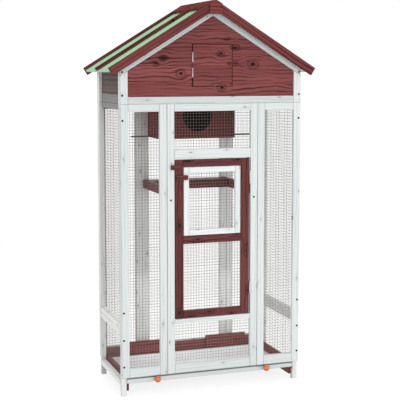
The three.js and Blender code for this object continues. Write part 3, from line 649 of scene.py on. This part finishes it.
plank_joints = [1263.3, 1316, 1391, 1467, 1542, 1601]
hatch_x, hatch_y, hatch_z = spans("hatch")
hole = ((hatch_x[0] - 4.5, hatch_x[1] + 2), (hatch_z[0] - 2, hatch_z[1] + 2))
# The planks above upper_planks are darker by upper_shade, a painted shade under the rafters and bargeboards
gable_rail, upper_planks, upper_shade = 30, 1450, 0.14
for end in ("front", "rear"):
    x, y, z = spans(f"{end}_gable_frame")
    half, inner = x[1], x[1] - stock
    post = [(inner, z[0]), (half, z[0]), (half, slope_height(half, rafter_low)),
            (inner, slope_height(inner, rafter_low))]
    rafter = [(0, slope_height(0, rafter_low)), (half, slope_height(half, rafter_low)),
              (half, slope_height(half, rafter_top)), (0, slope_height(0, rafter_top))]
    # The rafters and the gable's bottom rail are darkened as painted shade under the overhang, the right
    # rafter most
    piece(f"{end}_gable_timber", "cage", white_wood, "white_wood",
          [board(outline, "y", *y, tone=shade) for outline, shade in (
              (post, 0.99), (mirrored(post), 0.99), (rafter, 0.8), (mirrored(rafter), 0.86))]
          + [box((-inner, inner), y, (z[0], z[0] + gable_rail), tone=0.83)], f"{end}_gable_frame")
    planks = [outline for low, high in zip(plank_joints, plank_joints[1:])
              for outline in plank(low, high, hole if end == "front" else None)]
    y = spans(f"{end}_gable_board")[1]
    piece(f"{end}_gable_planks", "cage", gable_wood, "stained_board",
          [board(outline, "y", *y, along=(1, 0),
                 tone=rng.uniform(0.93, 1.02) - upper_shade * (outline[0][1] > upper_planks))
           for outline in planks], f"{end}_gable_board")

seam = 0.2
cuts = [hatch_z[0], *plank_joints[1:4], hatch_z[1]]
piece("hatch_planks", "gable_hatch", gable_wood, "stained_board",
      [box(hatch_x, hatch_y, (low + seam * (low != cuts[0]), high - seam * (high != cuts[-1])),
           arris=0.7, along=(1, 0)) for low, high in zip(cuts, cuts[1:])], "hatch")

# Laths behind the hatch's seams, on the inside of the gable planks
(west, east), (bottom, top) = hole
half, lath_y = 7, (hatch_y[1] + 0.4, hatch_y[1] + 3.4)
lath_x, lath_z = (west - 2, east), (bottom - half, top + half)
between = (lath_x[0] + half + gap, lath_x[1] - half - gap)
piece("hatch_laths", "cage", stained_wood, "stained_board",
      [box((place - half, place + half), lath_y, lath_z, arris=0.5, tone=0.8) for place in lath_x]
      + [box(between, lath_y, (height - half, height + half), arris=0.5, tone=0.8)
         for height in (bottom, top)])

# Attic

attic_rail, attic_joint = 39, 1331
for side, sign in sides:
    x, y, z = spans(f"{side}_attic_frame")
    stubs = [(y[0], y[0] + leg), (y[1] - leg, y[1])]
    between = (stubs[0][1], stubs[1][0])
    piece(f"{side}_attic_timber", "cage", inner_lit_wood, "white_wood",
          [box(x, stub, z) for stub in stubs]
          + [box(spread_out(sign, *set_back), between, (z[0], z[0] + attic_rail), tone=eaves_tone[side])],
          f"{side}_attic_frame")
    x, y, z = spans(f"{side}_attic_board")
    # The attic planks are darkened by the same painted shade
    piece(f"{side}_attic_planks", "cage", attic_greyed_wood, "stained_board",
          [box(x, y, (z[0], attic_joint), tone=eaves_tone[side] * 0.7 + 0.36),
           box(x, y, (attic_joint + 0.4, z[1]), tone=eaves_tone[side] * 0.7 + 0.31)], f"{side}_attic_board")

# Roof

felt_top, felt_low, deck_top, deck_low = 12.4, 14.2, 14.4, 21.3
eave_edge = eave_run - 3.0
cover, cap_run, bargeboard = 12, 58, 35


def felt_sheet(sign, y, steps=90):
    """Felt on one slope: a closed profile of runs and depths, over the board and down round its eave edge,
    is carried along y. Its top is lifted by 0.3 of a slow ripple, which is held to 0.1 at most and is
    0.35 * sin(y / 37 + run / 61) * sin(run / 83)."""
    nose = 1.2
    runs = np.linspace(plumb_run(felt_top), eave_edge - nose, 40)
    bend = np.linspace(0, pi / 2, 6)[1:]
    profile = np.concatenate([
        np.stack([runs, np.full_like(runs, felt_top)], 1),
        np.stack([eave_edge - nose + nose * np.sin(bend), felt_top + nose - nose * np.cos(bend)], 1),
        [(eave_edge, deck_low - 0.1), (eave_edge - 1.4, deck_low - 0.1), (eave_edge - 1.6, felt_low),
         (plumb_run(felt_low), felt_low)]])
    run, depth = profile[:, 0], profile[:, 1]
    along = np.linspace(y[0], y[1], steps)[:, None]
    ripple = np.zeros((steps, len(profile)))
    ripple[:, 1:len(runs)] = 0.35 * np.sin(along / 37 + runs[1:] / 61) * np.sin(runs[1:] / 83)
    depth = depth - np.minimum(ripple, 0.1) * 0.3
    x, z = slope_point(run, depth)
    points = put("y", sign * x, z, along).reshape(-1, 3)
    faces = tube(steps, len(profile))
    if sign < 0:
        faces = flipped(faces)
    return even(points, faces)


for side, sign in sides:
    lay = mirrored if sign < 0 else list
    y = spans(f"{side}_roof_panel")[1]
    deck = sloping(None, eave_edge - 1.7, deck_top, deck_low)
    piece(f"{side}_roof_deck", "cage", white_wood, "white_wood", [board(lay(deck), "y", *y, along=(0, 1))])
    piece(f"{side}_roof_felt", "cage", felt_green, "roof_green", [felt_sheet(sign, y)],
          f"{side}_roof_panel", smooth=True, soft=40)
    batten, barge = sloping(cap_run + gap, eave_run, 0, cover), sloping(None, eave_run, 0, bargeboard)
    for name, shape in ((f"{side}_roof_batten", batten), (f"front_{side}_bargeboard", barge),
                        (f"rear_{side}_bargeboard", barge)):
        piece(f"{name}_timber", "cage", stained_wood, "stained_board",
              [board(lay(shape), "y", *spans(name)[1])], name)

y = spans("ridge_cap")[1]
cap = sloping(None, cap_run, 0, cover)
piece("ridge_cap_boards", "cage", stained_wood, "stained_board",
      [board(lay(cap), "y", *y, along=(0, 1)) for lay in (list, mirrored)], "ridge_cap")
y = spans("apex_plate")[1]
plate_half, plate_low = 28, 1605
shoulder = slope_height(plate_half, 0)
piece("apex_board", "cage", stained_wood, "stained_board",
      [board([(-plate_half, plate_low), (plate_half, plate_low), (plate_half, shoulder), (0, ridge),
              (-plate_half, shoulder)], "y", *y, along=(1, 0), tone=1.0, dust=0.8)], "apex_plate")

# Door and window

x, y, z = spans("door_frame")
door_stile, bottom_rail_top, lock_rail, top_rail_low = 36, 351.5, (639, 673), 967
door_timber = framed(x, y, z, door_stile, [(z[0], bottom_rail_top), lock_rail, (top_rail_low, z[1])])
piece("door_stiles", "door", stile_wood, "brown_wood", door_timber[:2], "door_frame")
piece("door_rails", "door", rail_wood, "brown_wood", door_timber[2:])
x, y, z = spans("window_frame")
sash = 24
piece("window_timber", "window", white_wood, "white_wood",
      framed(x, y, z, sash, [(z[0], z[0] + sash), (z[1] - sash, z[1])], (1.12, 1.11, 1.12)), "window_frame")

# Stop laths close the hinge gaps from behind: the door's is on the cage, and the window's is on the door
for leaf, body, lath_x, lath_y, lath_z in (("door", "cage", (159, 172), (-177.6, -174.6), (318, 999)),
                                           ("window", "door", (119, 134), (-177.6, -174.8), (674, 966))):
    piece(f"{leaf}_stop_lath", body, door_wood, "brown_wood", [box(lath_x, lath_y, lath_z, arris=0.6)])


def screw_head(at, axis, radius, height, recess=0.35):
    """A domed head with a shallow cup in its crown."""
    rise = np.linspace(0, pi / 2, 6)[:-1]
    dome = [(radius * cos(turn), height * (0.25 + 0.75 * sin(turn))) for turn in rise]
    cup = [(radius * recess, height), (radius * recess * 0.5, height * 0.45), (0.02, height * 0.4)]
    return turned([(radius, 0)] + dome + cup, at, axis, 20)


def turn_button(node, body, pivot, corner, finish=door_wood):
    """A turn button: a block with round corners, each corner swept through a quarter turn, and its screw."""
    x, y, z = spans(node)
    screw_rise = 1.5
    outline = []
    for quarter, (right, up) in enumerate(((1, 1), (-1, 1), (-1, -1), (1, -1))):
        centre = (x[right > 0] - right * corner, z[up > 0] - up * corner)
        sweep = quarter * pi / 2 + np.linspace(0, pi / 2, 6)
        outline += [(centre[0] + corner * cos(turn), centre[1] + corner * sin(turn)) for turn in sweep]
    piece(f"{node}_block", body, finish, "brown_wood",
          [board(outline, "y", y[0] + screw_rise, y[1], arris=0.8, along=(1, 0), tone=0.92)], node)
    head = screw_head((pivot, y[0] + screw_rise + 0.05, sum(z) / 2), (0, -1, 0), 3, screw_rise)
    piece(f"{node}_screw", body, screw_metal, "hinge_steel", [head], smooth=True, soft=50)


turn_button("door_button", "door_turn_button", pivot=-180, corner=2.5)
turn_button("window_button", "window_turn_button", pivot=-154.5, corner=2.5)
turn_button("hatch_button", "hatch_turn_button", pivot=107.75, corner=2.0, finish=stained_wood)

# Nest box, with painted deep shade on its inner faces

hole_rise, hole_radius = 100, 68
x, y, z = spans("nest_box_front")
piece("nest_front_board", "cage", nest_wood, "brown_wood",
      [holed(x, y, z, (0, z[0] + hole_rise), hole_radius)], "nest_box_front")
x, y, z = spans("nest_box_shell")
wall, floor_rise, inside_shade = 10, 11, 0.25
inner = (x[0] + wall, x[1] - wall)
piece("nest_box_boards", "cage", nest_wood, "brown_wood",
      [box((x[0], inner[0]), y, z, tone=(1, inside_shade)), box((inner[1], x[1]), y, z, tone=(inside_shade, 1)),
       box(inner, (y[1] - wall, y[1]), z, tone=(0.2, 1)),
       box(inner, (y[0], y[1] - wall), (z[0] + floor_rise, z[0] + floor_rise + wall), tone=(1, inside_shade))],
      "nest_box_shell")

# Perch: a rod whose ends are rounded through a quarter turn

x, y, z = spans("perch")
rod_radius, end_radius, rod_length = 3.5, 0.8, x[1] - x[0]
end_round = [(rod_radius - end_radius * (1 - sin(turn)), end_radius * (1 - cos(turn)))
             for turn in np.linspace(0, pi / 2, 5)]
rod = end_round + [(radius, rod_length - rise) for radius, rise in end_round[::-1]]
piece("perch_rod", "cage", perch_metal, "black_rod",
      [turned(rod, (x[0], sum(y) / 2, sum(z) / 2), (1, 0, 0), 28)], "perch", smooth=True, soft=50)

# Landing platform: two arms, the shelf's lip and the shelf behind it

x, y, z = spans("landing_platform")
arm, lip, shelf, shelf_front, shelf_rear = 20, 10, 10, 101, 186
inner = (x[0] + arm, x[1] - arm)
piece("platform_timber", "cage", door_wood, "brown_wood",
      [box((x[0], inner[0]), y, z), box((inner[1], x[1]), y, z),
       box(inner, (shelf_front, shelf_front + lip), z),
       box(inner, (shelf_front + lip + gap, shelf_rear), (z[1] - shelf, z[1]))], "landing_platform")

# Base skirting: the rear board in two steps, side boards round a groove for the pan, and two raised cleats

x, y, z = spans("base_skirting")
board_front, net_face, rear_top, rebate_top = 176, 185.8, 117, 104
side_top, groove, side_x, groove_x = 89, (50.1, 53.8), (374.1, 380), (369, 374)
cleat_x, cleat_front, cleat_low, rear_joint = (96, 293), 166, 60, 175.8
skirting = [box(x, (board_front, net_face), (z[0], rear_top)), box(x, (net_face, y[1]), (z[0], rebate_top))]
for sign in (-1, 1):
    for reach, heights in ((side_x, (z[0], side_top)), (groove_x, (z[0], groove[0])),
                           (groove_x, (groove[1], side_top))):
        skirting.append(box(spread_out(sign, *reach), (y[0], rear_joint), heights, arris=0.6, tone=0.98))
    skirting.append(box(spread_out(sign, *cleat_x), (cleat_front, rear_joint), (cleat_low, z[1])))
piece("skirting_boards", "cage", skirting_lit_wood, "brown_wood", skirting, "base_skirting")

# Tray

x, y, z = spans("tray_front")
shadow_strip = 5.6
# Its top strip is set back a little and painted dark as the shadow under the front panels' bottom rail
piece("tray_front_board", "tray", white_wood, "white_wood",
      [box(x, y, (z[0], z[1] - shadow_strip), arris=1.6, dust=0.2),
       box(x, (y[0] + 0.6, y[1]), (z[1] - shadow_strip, z[1]), tone=0.38)], "tray_front")


def pan_sheet(x, y, z, ribs=24, rib_depth=0.9):
    """The pan: a sheet whose top is pressed into shallow ribs, top height being
    z_high - rib_depth * (1 - cos(2 pi ribs share)) / 2 away from a flat rim, over a flat underside."""
    share_x, share_y = np.meshgrid(np.linspace(0, 1, 241), np.linspace(0, 1, 61), indexing="ij")
    from_sides, from_ends = np.minimum(share_x, 1 - share_x), np.minimum(share_y, 1 - share_y)
    inside = np.clip(np.minimum(from_sides * 30, from_ends * 14) - 0.4, 0, 1)
    height = z[1] - rib_depth * inside * (1 - np.cos(2 * pi * ribs * share_x)) / 2
    across, along = x[0] + share_x * (x[1] - x[0]), y[0] + share_y * (y[1] - y[0])
    points = np.concatenate([put("z", across, along, level).reshape(-1, 3) for level in (height, z[0])])
    rows, columns = share_x.shape
    place = np.arange(rows * columns).reshape(rows, columns)
    sheet = np.stack([place[:-1, :-1], place[1:, :-1], place[1:, 1:], place[:-1, 1:]], -1).reshape(-1, 4)
    rim = np.concatenate([place[:, 0], place[-1, 1:], place[-2::-1, -1], place[0, -2:0:-1]])
    following = np.roll(rim, -1)
    wall = np.stack([rim + place.size, following + place.size, following, rim], -1)
    return even(points, np.concatenate([sheet, sheet[:, ::-1] + place.size, wall]).tolist())


x, y, z = spans("tray_pan")
rail_half, rail_thickness, pan_z = 368, 10, (50.4, 53.2)
piece("tray_pan_sheet", "tray", pan_plastic, "tray_sheet",
      [pan_sheet(x, (y[0], y[1] - rail_thickness - 0.2), pan_z),
       box((-rail_half, rail_half), (y[1] - rail_thickness, y[1]), (pan_z[0], 76))],
      "tray_pan", smooth=True, soft=30)

ball_radius, ball_centre, neck_angle = 14, 17.4, 0.482
neck = [(7.6, 0), (7.2, 0.8), (6.5, 2.0), (6.35, 3.4)]
ball = [(ball_radius * sin(turn), ball_centre - ball_radius * cos(turn))
        for turn in np.linspace(neck_angle, pi - 0.02, 26)]
for side, sign in sides:
    x, y, z = spans(f"tray_knob_{side}")
    piece(f"tray_knob_{side}_turning", "tray", knob_orange, "turned_knob",
          [turned(neck + ball, (sum(x) / 2, y[1], sum(z) / 2), (0, -1, 0), 44)], f"tray_knob_{side}",
          smooth=True)

# Hinges keep their solids, with welded seams and soft edges

for hinge in ("door_hinge_upper", "door_hinge_lower", "window_hinge", "hatch_hinge"):
    for kind in ("fixed", "moving"):
        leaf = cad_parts[f"{hinge}_{kind}_leaf"]
        stained = hinge == "window_hinge" or (hinge, kind) == ("hatch_hinge", "moving")
        leaf.data.materials.clear()
        leaf.data.materials.append(stained_metal if stained else hinge_metal)
        weld = leaf.modifiers.new("join seams", "WELD")
        weld.merge_threshold = 0.00001
        soften = leaf.modifiers.new("soft edges", "BEVEL")
        soften.width, soften.segments = 0.0002, 2
        soften.limit_method, soften.angle_limit = "ANGLE", radians(40)

# Screws and nails

front = spans("front_left_frame")[1][0]
corner_x, corner_heights, stile_x, stile_height = 396, (130, 244, 361, 1165.5, 1269, 1365), 188, 828
heads = [screw_head((sign * corner_x, front + 0.25, height), (0, -1, 0), 4.6, 1.0)
         for sign in (-1, 1) for height in corner_heights]
heads += [screw_head((sign * stile_x, front + 0.25, stile_height), (0, -1, 0), 4.2, 1.0) for sign in (-1, 1)]
piece("frame_screws", "cage", screw_metal, "hinge_steel", heads, smooth=True, soft=50)

side_face, side_nail_y, side_nail_heights = 403.9, -187, (96, 1181, 1214)
barge_front, barge_rear, barge_nails = -222.8, 232.8, ((70, 12), (300, 22), (505, 12), (520, 26))
plate_front, plate_nail_height = -232.7, 1617
nails = []
for sign in (-1, 1):
    for height in side_nail_heights:
        nails.append(screw_head((sign * side_face, side_nail_y, height), (sign, 0, 0), 2.8, 0.7))
    for run, depth in barge_nails:
        across, height = slope_point(run, depth)
        nails.append(screw_head((sign * across, barge_front, height), (0, -1, 0), 2.0, 0.6))
        nails.append(screw_head((sign * across, barge_rear, height), (0, 1, 0), 2.0, 0.6))
for across in (-14, 14):
    nails.append(screw_head((across, plate_front, plate_nail_height), (0, -1, 0), 2.0, 0.3))
piece("frame_nails", "cage", screw_metal, "hinge_steel", nails, smooth=True, soft=50)


# Studio

def pale_floor(ground, under, open_air):
    """A pale floor that adds its own white where it is seen directly or in a reflection. Round the cage,
    where the shadow lies, it adds the share `under` and keeps 0.3 of its colour. Further out the white rises
    smoothly to open_air as the colour fades, so that the floor never outshines the backdrop."""
    pale = Finish("pale floor", Roughness=0.9, Specular_IOR_Level=0.0, Emission_Color=pure_white)
    direct = pale.seen_directly()
    far = pale.between(pale.vector_math("LENGTH", pale.place(), output="Value"), 0.7, 2.2)
    pale.feed("Emission Strength", direct * (far * (open_air - under) + under))
    pale.feed("Base Color", pale.mix(direct * (far * 0.3 + 0.7), ground, (0, 0, 0, 1)))
    return pale.material


floor_mesh = bpy.data.meshes.new("floor")
floor_mesh.from_pydata([(*corner, 0) for corner in rectangle((-12, 12), (-12, 12))], [], [(0, 1, 2, 3)])
floor_mesh.materials.append(pale_floor(paint(246, 246, 246), 0.8, 1.0))
floor = bpy.data.objects.new("floor", floor_mesh)
bpy.context.collection.objects.link(floor)

# The world lights the object a little under white and is white itself where it is seen directly
world = bpy.data.worlds.new("studio")
bpy.context.scene.world = world
world.use_nodes = True
studio = Nodes(world.node_tree)
sky = studio.tree.nodes["Background"]
sky.inputs["Color"].default_value = pure_white
sky.inputs["Strength"].default_value = 0.85
backdrop = studio.node("ShaderNodeBackground", None, {"Color": pure_white, "Strength": 1.0})
seen = studio.node("ShaderNodeMixShader", None, {
    0: studio.seen_directly(), 1: Value(studio, sky.outputs["Background"]), 2: backdrop})
studio.tree.links.new(seen.socket, studio.tree.nodes["World Output"].inputs["Surface"])


def lamp(name, place, aim, size, power):
    """A soft square lamp at a place, in metres, turned towards the point it lights."""
    light = bpy.data.lights.new(name, "AREA")
    light.size, light.energy = size, power
    holder = bpy.data.objects.new(name, light)
    holder.location = place
    holder.rotation_euler = (Vector(aim) - Vector(place)).to_track_quat("-Z", "Y").to_euler()
    bpy.context.collection.objects.link(holder)
    return holder


lamp("front key", (1.4, -6.0, 2.0), (0, 0, 0.7), 2.4, 62)
lamp("left fill", (-4.4, 3.4, 2.2), (0, 0, 0.5), 2.4, 30)
lamp("overhead", (0.2, 0.4, 5.0), (0, 0, 0.5), 3.0, 12)
lamp("back light", (1.0, 4.8, 2.6), (0, 0, 0.5), 2.4, 26)
over_tray = lamp("fill over the tray", (0, 0, 0.45), (0, 0, 0), 0.64, 0.42)
over_tray.data.shape, over_tray.data.size_y = "RECTANGLE", 0.26
over_tray.visible_camera = False

camera_data = bpy.data.cameras.new("camera")
camera_data.sensor_width, camera_data.lens = 36, 93.69
camera_data.shift_x, camera_data.shift_y = -0.0092, -0.0692
camera_data.clip_end = 60
camera = bpy.data.objects.new("camera", camera_data)
camera.location = (-1.5106, -4.3257, 1.3819)
camera.rotation_euler = (radians(90 - 5.726), 0, radians(-19.558))
bpy.context.collection.objects.link(camera)
bpy.context.scene.camera = camera
bpy.context.scene.view_settings.view_transform = "Standard"
